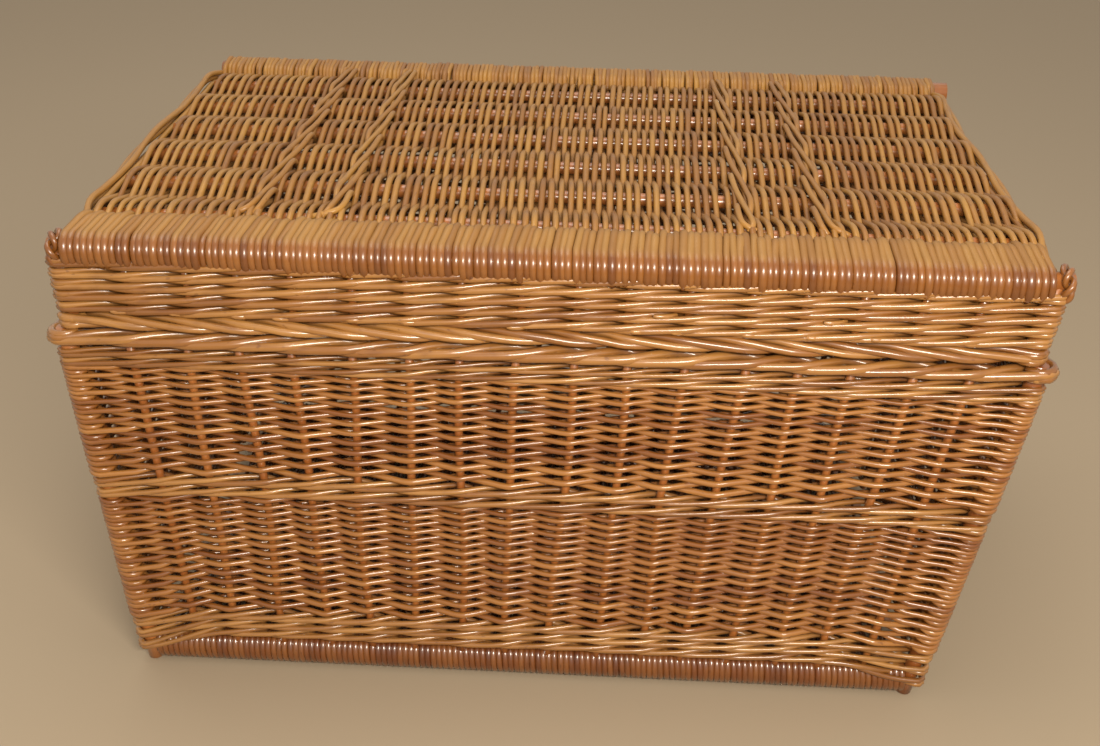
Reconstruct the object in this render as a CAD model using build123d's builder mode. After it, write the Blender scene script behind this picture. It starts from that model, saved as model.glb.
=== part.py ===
from build123d import *
import os

# Woven willow laundry basket: a flared rectangular body on a framed base, and a deep lid
# that opens backwards on willow hinge loops. Millimetres, +Z up, X along the length,
# front at -Y, origin on the floor under the middle of the basket.

# ---------------------------------------------------------------- driving dimensions
seam_height = 343.0            # where the lid meets the body
top_height = 430.0             # top of the wrapped sticks of the lid
foot_half_length, foot_half_width = 343.0, 216.5     # outside of the walls at the floor
rim_half_length, rim_half_width = 380.0, 244.5       # outside of the walls at the seam
wall_thickness = 15.0          # a stake with a weaver on each side of it
corner_radius = 14.0
lean = 0.0425                  # the body leans sideways, to -X at its foot: a share of the height
fit_gap = 0.15                 # round every stick and stake inside the weave
cut_overrun = 3.0              # how far a channel passes the end of its stick
lid_gap = 0.5                  # between the border of the body and that of the lid

stake_radius, post_radius = 3.6, 7.0
long_stakes, short_stakes = 16, 9
stake_pitch_share = 0.113      # of the half length, from one stake to the next
side_pitch_share = 0.19        # of the half width, in the short walls
post_inset = 9.5
stake_bottom, post_bottom = 34.0, 2.0
stake_top_gap = 1.0            # under the border

base_stick_radius, base_wrap_radius = 11.0, 16.5
base_wrap_height = 16.0        # a little under the radius, so that it stands on a flat strip
base_half_length = 322.0
base_stick_overhang = 3.0      # past the wraps, at each end
base_stick_outset = 3.0        # of the wraps, from the outside of the walls
base_panel_overhang = 10.0
inner_base_overhang = 12.0
base_panel = (7.0, 27.0)       # underside and top of the woven base
inner_base_sticks, inner_stick_radius = 5, 5.5
inner_base_pitch = 64.0

bottom_wale_top, lower_weave_top = 64.0, 186.0
middle_wale_top, upper_weave_top = 212.0, 305.0
border_radius = 7.5
border_bottom = seam_height - lid_gap - 2 * border_radius
border_bulge_length, border_bulge_width = 385.0, 249.8

lid_border_top = seam_height + 2 * border_radius
lid_wall_top = 398.7
lid_stick_radius, lid_wrap_radius = 10.5, 15.4
lid_wrap_half_length, lid_stick_half_length = 372.0, 378.0
lid_panel_half_length, lid_panel_thickness = 364.5, 18.0
lid_panel_front_top, lid_panel_rear_top = 426.0, 412.0
inner_lid_sticks, first_lid_stick, lid_stick_pitch = 6, -190.0, 72.0
cross_band_places = (-230.0, -169.0, 144.0, 203.0)
cross_band_width, cross_band_height = 16.0, 4.0

hinge_rod_radius = 2.5
hinge_clearance = 0.3
hinge_places = (-215.0, 0.0, 215.0)
hinge_tail_top = 396.0

# ---------------------------------------------------------------- worked out from them
border_height = border_bottom + border_radius
lid_border_height = seam_height + border_radius
hinge_y = rim_half_width - border_radius
hinge_ring_radius = border_radius + hinge_clearance + hinge_rod_radius
lid_stick_height = top_height - lid_wrap_radius
lid_stick_y = rim_half_width - lid_wrap_radius
base_stick_y = foot_half_width - base_wrap_radius + base_stick_outset
stake_inset = wall_thickness / 2
stake_top = border_bottom - stake_top_gap


def half_length(z):
    """Outside of the end walls at a height."""
    return foot_half_length + (rim_half_length - foot_half_length) * z / seam_height


def half_width(z):
    """Outside of the long walls at a height."""
    return foot_half_width + (rim_half_width - foot_half_width) * z / seam_height


def centre_x(z):
    """Middle of the body at a height; the lid sits square over the top of the body."""
    return lean * min(z - border_height, 0)


def rods(ends, radius):
    """One straight round rod for each pair of end points."""
    with BuildPart() as made:
        for foot, head in ends:
            axis = Vector(*head) - Vector(*foot)
            with BuildSketch(Plane(origin=foot, z_dir=axis)):
                Circle(radius)
            extrude(amount=axis.length)
    return made.part


def rods_along_x(places, half, radius):
    """Level rods from end to end of the basket, at each (y, z)."""
    return rods([((centre_x(z) - half, y, z), (centre_x(z) + half, y, z)) for y, z in places], radius)


def tapered_ring(low, high, holes):
    """A band of the wall that follows its flare, with a channel for every stake."""
    with BuildPart() as ring:
        for z in (low, high):
            with BuildSketch(Plane.XY.offset(z)):
                with Locations((centre_x(z), 0)):
                    RectangleRounded(2 * half_length(z), 2 * half_width(z), corner_radius)
        loft()
        for z in (low, high):
            with BuildSketch(Plane.XY.offset(z)):
                with Locations((centre_x(z), 0)):
                    Rectangle(
                        2 * (half_length(z) - wall_thickness),
                        2 * (half_width(z) - wall_thickness),
                    )
        loft(mode=Mode.SUBTRACT)
        add(holes, mode=Mode.SUBTRACT)
    return ring


def save(made, name):
    made.label = name
    export_step(made, f"parts/{name}.step")


os.makedirs("parts", exist_ok=True)


# ---------------------------------------------------------------- stakes and corner posts
def wall_lines(low, high, side):
    """End points of the stakes of one wall: side is front, rear, left or right."""
    lines = []
    count = long_stakes if side in ("front", "rear") else short_stakes
    sign = -1 if side in ("front", "left") else 1
    for i in range(count):
        step = i - (count - 1) / 2
        ends = []
        for z in (low, high):
            if side in ("front", "rear"):
                x = step * stake_pitch_share * half_length(z)
                y = sign * (half_width(z) - stake_inset)
            else:
                x = sign * (half_length(z) - stake_inset)
                y = step * side_pitch_share * half_width(z)
            ends.append((x + centre_x(z), y, z))
        lines.append(ends)
    return lines


def post_lines(low, high):
    """End points of the four corner posts."""
    lines = []
    for sx in (-1, 1):
        for sy in (-1, 1):
            ends = []
            for z in (low, high):
                x = centre_x(z) + sx * (half_length(z) - post_inset)
                ends.append((x, sy * (half_width(z) - post_inset), z))
            lines.append(ends)
    return lines


sides = ("front", "rear", "left", "right")
for side in sides:
    save(rods(wall_lines(stake_bottom, stake_top, side), stake_radius), f"{side}_stakes")
save(rods(post_lines(post_bottom, stake_top), post_radius), "corner_posts")

channel_ends = (stake_bottom - cut_overrun, stake_top + cut_overrun)
all_stakes = [line for side in sides for line in wall_lines(*channel_ends, side)]
stake_channels = rods(all_stakes, stake_radius + fit_gap)
post_channels = rods(post_lines(post_bottom - cut_overrun, stake_top + cut_overrun), post_radius + fit_gap)
wall_channels = stake_channels + post_channels

# ---------------------------------------------------------------- base
base_centre = centre_x(base_wrap_height)
base_stick_places = [(-base_stick_y, base_wrap_height), (base_stick_y, base_wrap_height)]
panel_middle = sum(base_panel) / 2
inner_base_places = [
    ((i - (inner_base_sticks - 1) / 2) * inner_base_pitch, panel_middle) for i in range(inner_base_sticks)
]
base_outer = rods_along_x(base_stick_places, base_half_length + base_stick_overhang, base_stick_radius)
base_inner = rods_along_x(inner_base_places, base_half_length + inner_base_overhang, inner_stick_radius)
save(base_outer, "base_outer_sticks")
save(base_inner, "base_inner_sticks")

base_plane = Plane.YZ.offset(base_centre)
with BuildPart() as base_weave:
    # the wrapped outside sticks, flat where they stand on the floor
    with BuildSketch(base_plane):
        with Locations(*base_stick_places):
            Circle(base_wrap_radius)
        with Locations((0, -base_wrap_radius)):
            Rectangle(4 * foot_half_width, 2 * base_wrap_radius, mode=Mode.SUBTRACT)
    extrude(amount=base_half_length, both=True)
    # the woven panel between them
    with BuildSketch(base_plane):
        with Locations((0, panel_middle)):
            Rectangle(2 * base_stick_y, base_panel[1] - base_panel[0])
        with Locations(*base_stick_places):
            Circle(base_wrap_radius - 1, mode=Mode.SUBTRACT)
    extrude(amount=base_half_length + base_panel_overhang, both=True)
    for places, radius in ((base_stick_places, base_stick_radius), (inner_base_places, inner_stick_radius)):
        with BuildSketch(base_plane):
            with Locations(*places):
                Circle(radius + fit_gap)
        extrude(amount=base_half_length + inner_base_overhang + cut_overrun, both=True, mode=Mode.SUBTRACT)
    add(post_channels, mode=Mode.SUBTRACT)
save(base_weave.part, "base_weave")

# ---------------------------------------------------------------- walls of the body
bottom_wale_bottom = base_wrap_height + base_wrap_radius + lid_gap
save(tapered_ring(bottom_wale_bottom, bottom_wale_top, wall_channels).part, "bottom_wale")
save(tapered_ring(bottom_wale_top, lower_weave_top, wall_channels).part, "lower_weave")
save(tapered_ring(lower_weave_top, middle_wale_top, wall_channels).part, "middle_wale")
save(tapered_ring(middle_wale_top, upper_weave_top, wall_channels).part, "upper_weave")

# the hinge loops pass through the last wale, under the border
notch_depth = 16.5
with BuildPart() as hinge_notches:
    for x in hinge_places:
        with BuildSketch(Plane.XY.offset(border_height - notch_depth)):
            with Locations((x, hinge_y)):
                Rectangle(2 * hinge_rod_radius + 1.4, 2 * wall_thickness + 6)
        extrude(amount=notch_depth + 2)
save(tapered_ring(upper_weave_top, border_bottom, wall_channels + hinge_notches.part).part, "top_wale")


# ---------------------------------------------------------------- borders
def rolled_border(height, outer_length, outer_width, round_height):
    """A rolled border: a rounded bar on three sides and a plain round bar at the back."""
    front = -outer_width
    inner_x = outer_length - 2 * border_radius - 3
    inner_front = front + 2 * border_radius + 3
    back = hinge_y - border_radius - 2
    with BuildPart() as border:
        with BuildSketch(Plane.XY.offset(height - border_radius)):
            with Locations((0, (front + back) / 2)):
                Rectangle(2 * outer_length, back - front)
            with Locations((0, (inner_front + back) / 2)):
                Rectangle(2 * inner_x, back - inner_front, mode=Mode.SUBTRACT)
        extrude(amount=2 * border_radius)
        fillet(border.edges().filter_by(Axis.Z).group_by(Axis.Y)[0], corner_radius)
        outer_rims = [
            edge
            for edge in border.edges().filter_by(GeomType.LINE)
            if abs(edge.center().Z - height) > border_radius - 0.1
            and (abs(edge.center().X) > inner_x + 1 or edge.center().Y < inner_front - 1)
            and edge.center().Y < back - 1
        ]
        fillet(outer_rims, round_height)
        for sign in (-1, 1):
            with BuildSketch(Plane.XZ.offset(-back)):
                with Locations((sign * (outer_length - border_radius - 1.5), height)):
                    RectangleRounded(2 * border_radius + 3, 2 * border_radius, round_height)
            extrude(amount=-(hinge_y - back))
        with BuildSketch(Plane.YZ.offset(-outer_length + 1)):
            with Locations((hinge_y, height)):
                Circle(border_radius)
        extrude(amount=2 * outer_length - 2)
    return border


top_border = rolled_border(border_height, border_bulge_length, border_bulge_width, 5.0)
save(top_border.part, "top_border")

with BuildPart() as lid_border:
    add(rolled_border(lid_border_height, rim_half_length + 2, rim_half_width + 2.5, 5.0).part)
    for x in hinge_places:
        with BuildSketch(Plane.XY.offset(border_height)):
            with Locations((x, hinge_y)):
                Rectangle(2 * hinge_rod_radius + 1.4, 4 * border_radius)
        extrude(amount=hinge_ring_radius + hinge_rod_radius + 0.5, mode=Mode.SUBTRACT)
save(lid_border.part, "lid_border")


# ---------------------------------------------------------------- lid walls
def lid_stake_lines(low, high):
    """End points of the short stakes and corner posts of the lid, which stand upright."""
    lines = []
    for side in sides:
        for (x, y, _), _ in wall_lines(seam_height, seam_height + 1, side):
            lines.append([(x, y, low), (x, y, high)])
    posts = [[(x, y, low), (x, y, high)] for (x, y, _), _ in post_lines(seam_height, seam_height + 1)]
    return lines, posts


lid_stakes, lid_posts = lid_stake_lines(lid_border_top, lid_wall_top)
save(rods(lid_stakes, stake_radius), "lid_stakes")
save(rods(lid_posts, post_radius), "lid_corner_posts")
lid_stake_cuts, lid_post_cuts = lid_stake_lines(lid_border_top - 3, lid_wall_top + 3)

with BuildPart() as lid_wale:
    with BuildSketch(Plane.XY.offset(lid_border_top)):
        RectangleRounded(2 * rim_half_length, 2 * rim_half_width, corner_radius)
        Rectangle(
            2 * (rim_half_length - wall_thickness),
            2 * (rim_half_width - wall_thickness),
            mode=Mode.SUBTRACT,
        )
    extrude(amount=lid_wall_top - lid_border_top)
    add(rods(lid_stake_cuts, stake_radius + fit_gap), mode=Mode.SUBTRACT)
    add(rods(lid_post_cuts, post_radius + fit_gap), mode=Mode.SUBTRACT)
save(lid_wale.part, "lid_wale")


# ---------------------------------------------------------------- lid top
def panel_top(y):
    """The woven top falls a little from the front stick to the rear one."""
    share = (y + lid_stick_y) / (2 * lid_stick_y)
    return lid_panel_front_top + (lid_panel_rear_top - lid_panel_front_top) * share


outer_lid_places = [(-lid_stick_y, lid_stick_height), (lid_stick_y, lid_stick_height)]
inner_lid_places = []
for i in range(inner_lid_sticks):
    stick_y = first_lid_stick + i * lid_stick_pitch
    inner_lid_places.append((stick_y, panel_top(stick_y) - lid_panel_thickness / 2))

save(rods_along_x(outer_lid_places[:1], lid_stick_half_length, lid_stick_radius), "lid_front_stick")
save(rods_along_x(outer_lid_places[1:], lid_stick_half_length, lid_stick_radius), "lid_rear_stick")
save(rods_along_x(inner_lid_places, lid_panel_half_length, inner_stick_radius), "lid_inner_sticks")

with BuildPart() as lid_panel:
    with BuildSketch(Plane.YZ):
        with Locations(*outer_lid_places):
            Circle(lid_wrap_radius)
    extrude(amount=lid_wrap_half_length, both=True)
    with BuildSketch(Plane.YZ):
        with BuildLine():
            Polyline(
                (-lid_stick_y, panel_top(-lid_stick_y)),
                (lid_stick_y, panel_top(lid_stick_y)),
                (lid_stick_y, panel_top(lid_stick_y) - lid_panel_thickness),
                (-lid_stick_y, panel_top(-lid_stick_y) - lid_panel_thickness),
                close=True,
            )
        make_face()
        with Locations(*outer_lid_places):
            Circle(lid_wrap_radius - 1, mode=Mode.SUBTRACT)
    extrude(amount=lid_panel_half_length, both=True)
    for places, radius in ((outer_lid_places, lid_stick_radius), (inner_lid_places, inner_stick_radius)):
        with BuildSketch(Plane.YZ):
            with Locations(*places):
                Circle(radius + fit_gap)
        extrude(amount=lid_stick_half_length + 5, both=True, mode=Mode.SUBTRACT)
save(lid_panel.part, "lid_weave")

# the four raised rows that run from the front stick to the rear one
inner_front_y = -lid_stick_y + lid_wrap_radius + 0.3
band_slope = Vector(0, 2 * inner_front_y, panel_top(inner_front_y) - panel_top(-inner_front_y))
band_normal = Vector(0, band_slope.Z, -band_slope.Y)
with BuildPart() as cross_bands:
    for x in cross_band_places:
        middle = (x, 0, panel_top(0))
        with BuildSketch(Plane(origin=middle, x_dir=(1, 0, 0), z_dir=band_normal)):
            RectangleRounded(cross_band_width, band_slope.length - 1, 3)
        extrude(amount=cross_band_height)
        fillet(cross_bands.faces(Select.LAST).sort_by(Axis.Z)[-1].edges(), 1.5)
save(cross_bands.part, "lid_cross_bands")

# rolled ends of the woven top, on the side walls of the lid
end_border_width, end_border_height = 13.0, 13.0
with BuildPart() as end_borders:
    for sign in (-1, 1):
        with BuildSketch(Plane.XZ.offset(inner_front_y + 0.5)):
            with Locations((sign * (rim_half_length - end_border_width / 2), lid_wall_top + end_border_height / 2)):
                RectangleRounded(end_border_width, end_border_height, 4)
        extrude(amount=-2 * inner_front_y - 1)
save(end_borders.part, "lid_end_borders")

# a twisted rod tied round each end of the front stick
knot_length = 6.0
with BuildPart() as corner_knots:
    for sign in (-1, 1):
        with BuildSketch(Plane.YZ.offset(sign * lid_wrap_half_length)):
            with Locations(outer_lid_places[0]):
                Circle(lid_stick_radius + 4)
                Circle(lid_stick_radius + fit_gap, mode=Mode.SUBTRACT)
        extrude(amount=sign * knot_length)
save(corner_knots.part, "lid_corner_knots")

# ---------------------------------------------------------------- hinges
with BuildPart() as hinge_loops:
    for x in hinge_places:
        # the ring that turns on the round border of the body
        with BuildSketch(Plane.XY.offset(border_height)):
            with Locations((x, hinge_y + hinge_ring_radius)):
                Circle(hinge_rod_radius)
        revolve(axis=Axis((x, hinge_y, border_height), (1, 0, 0)))
        # the tail that is woven into the back of the lid
        with BuildSketch(Plane.XY.offset(border_height)):
            with Locations((x, hinge_y + hinge_ring_radius)):
                Circle(hinge_rod_radius)
        extrude(amount=hinge_tail_top - border_height)
save(hinge_loops.part, "hinge_loops")
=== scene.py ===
import math

import bmesh
import bpy
import numpy as np
from mathutils import Matrix, Vector


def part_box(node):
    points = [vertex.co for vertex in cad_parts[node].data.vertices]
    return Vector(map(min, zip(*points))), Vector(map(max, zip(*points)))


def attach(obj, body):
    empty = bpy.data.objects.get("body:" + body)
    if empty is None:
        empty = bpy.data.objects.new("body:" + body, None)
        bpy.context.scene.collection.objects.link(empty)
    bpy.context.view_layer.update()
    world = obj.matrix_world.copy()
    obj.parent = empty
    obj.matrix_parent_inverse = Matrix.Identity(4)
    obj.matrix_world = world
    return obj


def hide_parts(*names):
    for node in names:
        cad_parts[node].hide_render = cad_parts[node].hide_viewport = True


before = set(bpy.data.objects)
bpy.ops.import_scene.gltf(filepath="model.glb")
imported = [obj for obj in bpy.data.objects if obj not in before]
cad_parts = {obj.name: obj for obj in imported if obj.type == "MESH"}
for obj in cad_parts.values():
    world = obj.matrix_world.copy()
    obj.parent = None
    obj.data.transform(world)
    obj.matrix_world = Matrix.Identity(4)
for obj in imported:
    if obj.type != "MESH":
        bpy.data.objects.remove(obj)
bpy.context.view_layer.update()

# Willow laundry basket. Lines are worked out in millimetres and made in metres. +Z is up, X runs
# along the basket, and the front faces -Y.
MM = 0.001
TURN = 2 * math.pi


def low(node):
    """Lowest corner of a node's box, in millimetres."""
    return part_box(node)[0] / MM


def high(node):
    """Highest corner of a node's box, in millimetres."""
    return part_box(node)[1] / MM


# ------------------------------------------------------------------ sizes taken from the frame
WALL = 15.0                        # through a stake and a weaver on each side of it
STAKE_INSET = WALL / 2
POST_INSET = 9.5
STAKE_R, POST_R = 3.6, 7.0
LONG_STAKES, SHORT_STAKES = 16, 9
LONG_SHARE, SHORT_SHARE = 0.113, 0.19      # stake pitch as a share of the wall's half length
RING = 2 * (LONG_STAKES + SHORT_STAKES) + 4
POSTS = (0, LONG_STAKES + 1, LONG_STAKES + SHORT_STAKES + 2, 2 * LONG_STAKES + SHORT_STAKES + 3)

FOOT_Z, RIM_Z = high("lower_weave").z, high("upper_weave").z


def line_through(z0, v0, z1, v1):
    """A straight line through two points, as a function of the height."""
    slope = (v1 - v0) / (z1 - z0)
    return lambda z: v0 + slope * (z - z0)


# the body leans: its foot stands further to the left than its rim
RIGHT_SIDE = line_through(FOOT_Z, high("lower_weave").x, RIM_Z, high("upper_weave").x)
BACK_SIDE = line_through(FOOT_Z, high("lower_weave").y, RIM_Z, high("upper_weave").y)
LEAN = 0.0425                      # sideways, for each millimetre of height
BORDER_Z = (low("top_border").z + high("top_border").z) / 2


def centre_x(z):
    """The middle of the body's length at a height."""
    return LEAN * np.minimum(np.asarray(z, float) - BORDER_Z, 0.0)


def half_length(z):
    return RIGHT_SIDE(np.asarray(z, float)) - centre_x(z)


def half_width(z):
    return BACK_SIDE(np.asarray(z, float))


# ------------------------------------------------------------------ rods
def smooth_line(knots, steps):
    """A smooth line through every knot, with so many steps from one to the next."""
    knots = np.asarray(knots, float)
    ends = np.vstack([2 * knots[:1] - knots[1:2], knots, 2 * knots[-1:] - knots[-2:-1]])
    a, b, c, d = (part[:, None] for part in (ends[:-3], ends[1:-2], ends[2:-1], ends[3:]))
    t = np.linspace(0, 1, steps, endpoint=False)[None, :, None]
    line = 0.5 * (2 * b + (c - a) * t + (2 * a - 5 * b + 4 * c - d) * t**2
                  + (3 * b - a - 3 * c + d) * t**3)
    return np.vstack([line.reshape(-1, knots.shape[1]), knots[-1:]])


def rod(line, radius, shade=None, cut=0.0):
    """One willow rod along a line. shade runs from pale to deep and is left to chance where it is
    not given; cut is how pale its cut ends are."""
    line = np.asarray(line, float)[:, :3]
    radius = np.broadcast_to(np.asarray(radius, float), len(line)).copy()
    return {"line": line, "radius": radius, "shade": shade, "cut": cut}


END_RIM, END_MIDDLE = 0.12, 0.16   # how far the rim and the middle of a rod's end stand out
END_ROUNDING = 0.94                # the rim as a share of the rod's radius


def closed_ends(piece):
    """The rod's line with a flat end at both ends: (points, radii, cut)."""
    line, radius = piece["line"], piece["radius"]
    first = line[0] - line[1]
    last = line[-1] - line[-2]
    first /= max(np.linalg.norm(first), 1e-6)
    last /= max(np.linalg.norm(last), 1e-6)
    cut = np.zeros(len(line))
    line = np.vstack([line[0] + END_MIDDLE * first, line[0] + END_RIM * first, line,
                      line[-1] + END_RIM * last, line[-1] + END_MIDDLE * last])
    radius = np.concatenate([[0, END_ROUNDING * radius[0]], radius, [END_ROUNDING * radius[-1], 0]])
    ends = [piece["cut"]] * 2
    return line, radius, np.concatenate([ends, cut, ends])


GRAIN_RUN = 5000                   # each rod takes its grain from its own place along this length


def rod_tubes(name, rods, sides, chance):
    """A curve with one round tube for each rod, and the own shade, the cut and the grain (round the
    rod and along it) of every point of their skins."""
    curve = bpy.data.curves.new(name, "CURVE")
    curve.dimensions = "3D"
    curve.bevel_depth = 1.0
    curve.bevel_resolution = (sides - 4) // 2
    shades, cuts, grains = [], [], []
    angles = np.arange(sides) * TURN / sides
    for piece in rods:
        line, radius, cut = closed_ends(piece)
        spline = curve.splines.new("POLY")
        spline.points.add(len(line) - 1)
        points = np.ones((len(line), 4), np.float32)
        points[:, :3] = line * MM
        spline.points.foreach_set("co", points.ravel())
        spline.points.foreach_set("radius", (radius * MM).astype(np.float32))
        own = chance.random() if piece["shade"] is None else piece["shade"]
        along = np.concatenate([[0], np.cumsum(np.linalg.norm(np.diff(line, axis=0), axis=1))])
        along += chance.random() * GRAIN_RUN
        turned = angles[None, :] + chance.random() * TURN
        turned = (turned + np.zeros((len(line), 1))).ravel()
        shades.append(np.full(len(line) * sides, own))
        cuts.append(np.repeat(cut, sides))
        grains.append(np.stack([np.cos(turned), np.sin(turned), np.repeat(along, sides)], 1))
    return curve, np.concatenate(shades), np.concatenate(cuts), np.concatenate(grains)


def mesh_of(name, curve):
    """The mesh of a curve, which is then put away."""
    holder = bpy.data.objects.new(name, curve)
    bpy.context.scene.collection.objects.link(holder)
    mesh = bpy.data.meshes.new_from_object(holder)
    bpy.data.objects.remove(holder)
    bpy.data.curves.remove(curve)
    mesh.name = name
    return mesh


def weld_and_smooth(mesh):
    """Closes the ends of the tubes and shades them round."""
    work = bmesh.new()
    work.from_mesh(mesh)
    bmesh.ops.remove_doubles(work, verts=work.verts, dist=1e-6)
    for face in work.faces:
        face.smooth = True
    work.to_mesh(mesh)
    work.free()


def willow_piece(name, rods, material, body, nodes, seed, sides=6, depth=None, wear=None):
    """One piece of many rods. Each point keeps its rod's own shade, its place along and round the
    rod, how pale it is cut, how far out of the weave it lies (which sets its painted shade) and how
    worn it is."""
    curve, shade, cut, grain = rod_tubes(name, rods, sides, np.random.default_rng(seed))
    mesh = mesh_of(name, curve)
    count = len(mesh.vertices)
    places = np.zeros(count * 3, np.float32)
    mesh.vertices.foreach_get("co", places)
    places = places.reshape(-1, 3) / MM
    for key, kind, values in (
        ("rod_shade", "FLOAT", shade),
        ("rod_cut", "FLOAT", cut),
        ("rod_depth", "FLOAT", np.ones(count) if depth is None else np.clip(depth(places), 0, 1)),
        ("rod_wear", "FLOAT", np.zeros(count) if wear is None else np.clip(wear(places), 0, 1)),
        ("rod_grain", "FLOAT_VECTOR", grain),
    ):
        layer = mesh.attributes.new(key, kind, "POINT")
        field = "vector" if kind == "FLOAT_VECTOR" else "value"
        layer.data.foreach_set(field, values.astype(np.float32).ravel())
    weld_and_smooth(mesh)
    mesh.materials.clear()
    mesh.materials.append(material)
    piece = bpy.data.objects.new(name, mesh)
    bpy.context.scene.collection.objects.link(piece)
    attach(piece, body)
    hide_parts(*nodes)


# ------------------------------------------------------------------ the ring of stakes
def ring_places(z):
    """(x, y) of each stake and post of the ring at each height, in order from the front left post,
    counter-clockwise: an array of heights x ring x 2."""
    z = np.atleast_1d(np.asarray(z, float))
    hl, hw, cx = half_length(z), half_width(z), centre_x(z)
    out = np.zeros((len(z), RING, 2))
    for i in range(LONG_STAKES):
        step = i - (LONG_STAKES - 1) / 2
        out[:, 1 + i] = np.stack([cx + step * LONG_SHARE * hl, -(hw - STAKE_INSET)], 1)
        out[:, POSTS[2] + 1 + i] = np.stack([cx - step * LONG_SHARE * hl, hw - STAKE_INSET], 1)
    for i in range(SHORT_STAKES):
        step = i - (SHORT_STAKES - 1) / 2
        out[:, POSTS[1] + 1 + i] = np.stack([cx + hl - STAKE_INSET, step * SHORT_SHARE * hw], 1)
        out[:, POSTS[3] + 1 + i] = np.stack([cx - hl + STAKE_INSET, -step * SHORT_SHARE * hw], 1)
    for k, (sx, sy) in zip(POSTS, ((-1, -1), (1, -1), (1, 1), (-1, 1))):
        out[:, k] = np.stack([cx + sx * (hl - POST_INSET), sy * (hw - POST_INSET)], 1)
    return out


def wall_normal(k):
    """Outward direction of the wall at a place on the ring, which may be a half step."""
    k = k % RING
    if k < POSTS[1]:
        return np.array([0.0, -1.0])
    if k < POSTS[2]:
        return np.array([1.0, 0.0])
    if k < POSTS[3]:
        return np.array([0.0, 1.0])
    return np.array([-1.0, 0.0])


def hand_wobble(k, z, seed, size=1.0):
    """A slow unevenness of hand work at a place on the ring and a height."""
    return size * (
        math.sin(0.61 * k + 0.021 * z + seed)
        + 0.7 * math.sin(1.37 * k - 0.033 * z + 2.1 * seed)
        + 0.5 * math.sin(2.3 * k + 0.062 * z + 3.3 * seed)
    ) / 2.2


def stake_wobble(k, z):
    """How far a stake stands aside of its straight line, along the wall."""
    return 2.2 * math.sin(1.9 * k + 0.011 * z) + 1.2 * math.sin(5.1 * k + 0.027 * z)


def steps_from_post(k):
    """How many stakes a place on the ring is away from the nearest corner post."""
    return min(abs((k - p + RING / 2) % RING - RING / 2) for p in POSTS)


# the lid stands a little inside the border of the body, and flares to its top
LID_DRAWN_IN, LID_FLARE, LID_NARROWED = 9.5, 6.5, 2.0
LID_REACH_X, LID_REACH_Y = 380.0, 245.0


class Ring:
    """The stakes that a band is woven round. Those of the lid go straight up from the height
    upright; those of the body follow its leaning walls."""

    def __init__(self, upright=None):
        self.upright = upright

    def place(self, k, z):
        """(x, y) of a place on the ring, between two stakes where k is not whole."""
        spots = ring_places(z if self.upright is None else self.upright)[0]
        whole = int(math.floor(k))
        part = k - whole
        a, b = spots[whole % RING], spots[(whole + 1) % RING]
        spot = a * (1 - part) + b * part
        if self.upright is not None:
            drawn_in = LID_DRAWN_IN - LID_FLARE * (z - SEAM) / LID_WALL_HEIGHT
            smaller = np.array([1 - drawn_in / LID_REACH_X, 1 - LID_NARROWED / LID_REACH_Y])
            spot = spot * smaller + np.array([LEAN * (z - SEAM), 0.0])
        near = steps_from_post(k)
        if near > 0.9:
            n = wall_normal(k)
            aside = stake_wobble(round(k) if part == 0 else k, z) * min(near - 0.9, 1)
            spot = spot + aside * np.array([-n[1], n[0]])
        return spot

    def droop(self, k, z):
        """The rows of the body sink towards the corner posts, the lowest most."""
        if self.upright is not None:
            return 0.0
        deep = 11.0 - 10.5 * min(max((z - 60) / 250, 0), 1) + 10.0 * min(max((60 - z) / 25, 0), 1)
        return deep * math.exp(-((steps_from_post(k) / 0.95) ** 2))


SEAM = low("lid_border").z
LID_WALL_HEIGHT = high("lid_wale").z - SEAM
BODY, LID = Ring(), Ring(upright=SEAM)


def post_arc(ring, k, z, radius, angles, rises):
    """Knots round a corner post, at angles from the direction that points out of the corner. A knot
    is (x, y, z, place on the ring, and the two parts of its way out)."""
    centre = ring.place(k, z)
    before, after = wall_normal(k - 0.5), wall_normal(k + 0.5)
    out = (before + after) / math.sqrt(2)
    knots = []
    for angle, rise in zip(angles, rises):
        c, s = math.cos(angle), math.sin(angle)
        way = np.array([c * out[0] - s * out[1], s * out[0] + c * out[1]])
        spot = centre + radius * way
        level = z - ring.droop(k, z) + rise
        knots.append([spot[0], spot[1], level, k + 0.02 * angle, way[0], way[1]])
    return knots


STIFFNESS = 0.975                  # 1 would bend a rod to a sharp corner at each stake
LAPS = 2                           # a round is followed twice, so a rod may run on past its start
LEVEL_WOBBLE = 0.9                 # how far the rounds rise and sink together


def bent_over(t):
    """A stiff rod between two stakes: straight, and bent only where it passes a stake."""
    return math.asin(STIFFNESS * math.cos(math.pi * t)) / math.asin(STIFFNESS)


def wrapped_post(ring, k, level, wrap, outside):
    """A weaving rod at a corner post: round its outer side, or with an extra turn round all of it."""
    if outside:
        return post_arc(ring, k, level, wrap, np.arange(-2, 3) * (math.pi / 8), np.zeros(5))
    steps = np.arange(16)
    return post_arc(ring, k, level, wrap, math.pi * 1.25 - steps * math.pi / 6,
                    np.clip(steps - 1, 0, 13) * 0.34 - 2.2)


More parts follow.
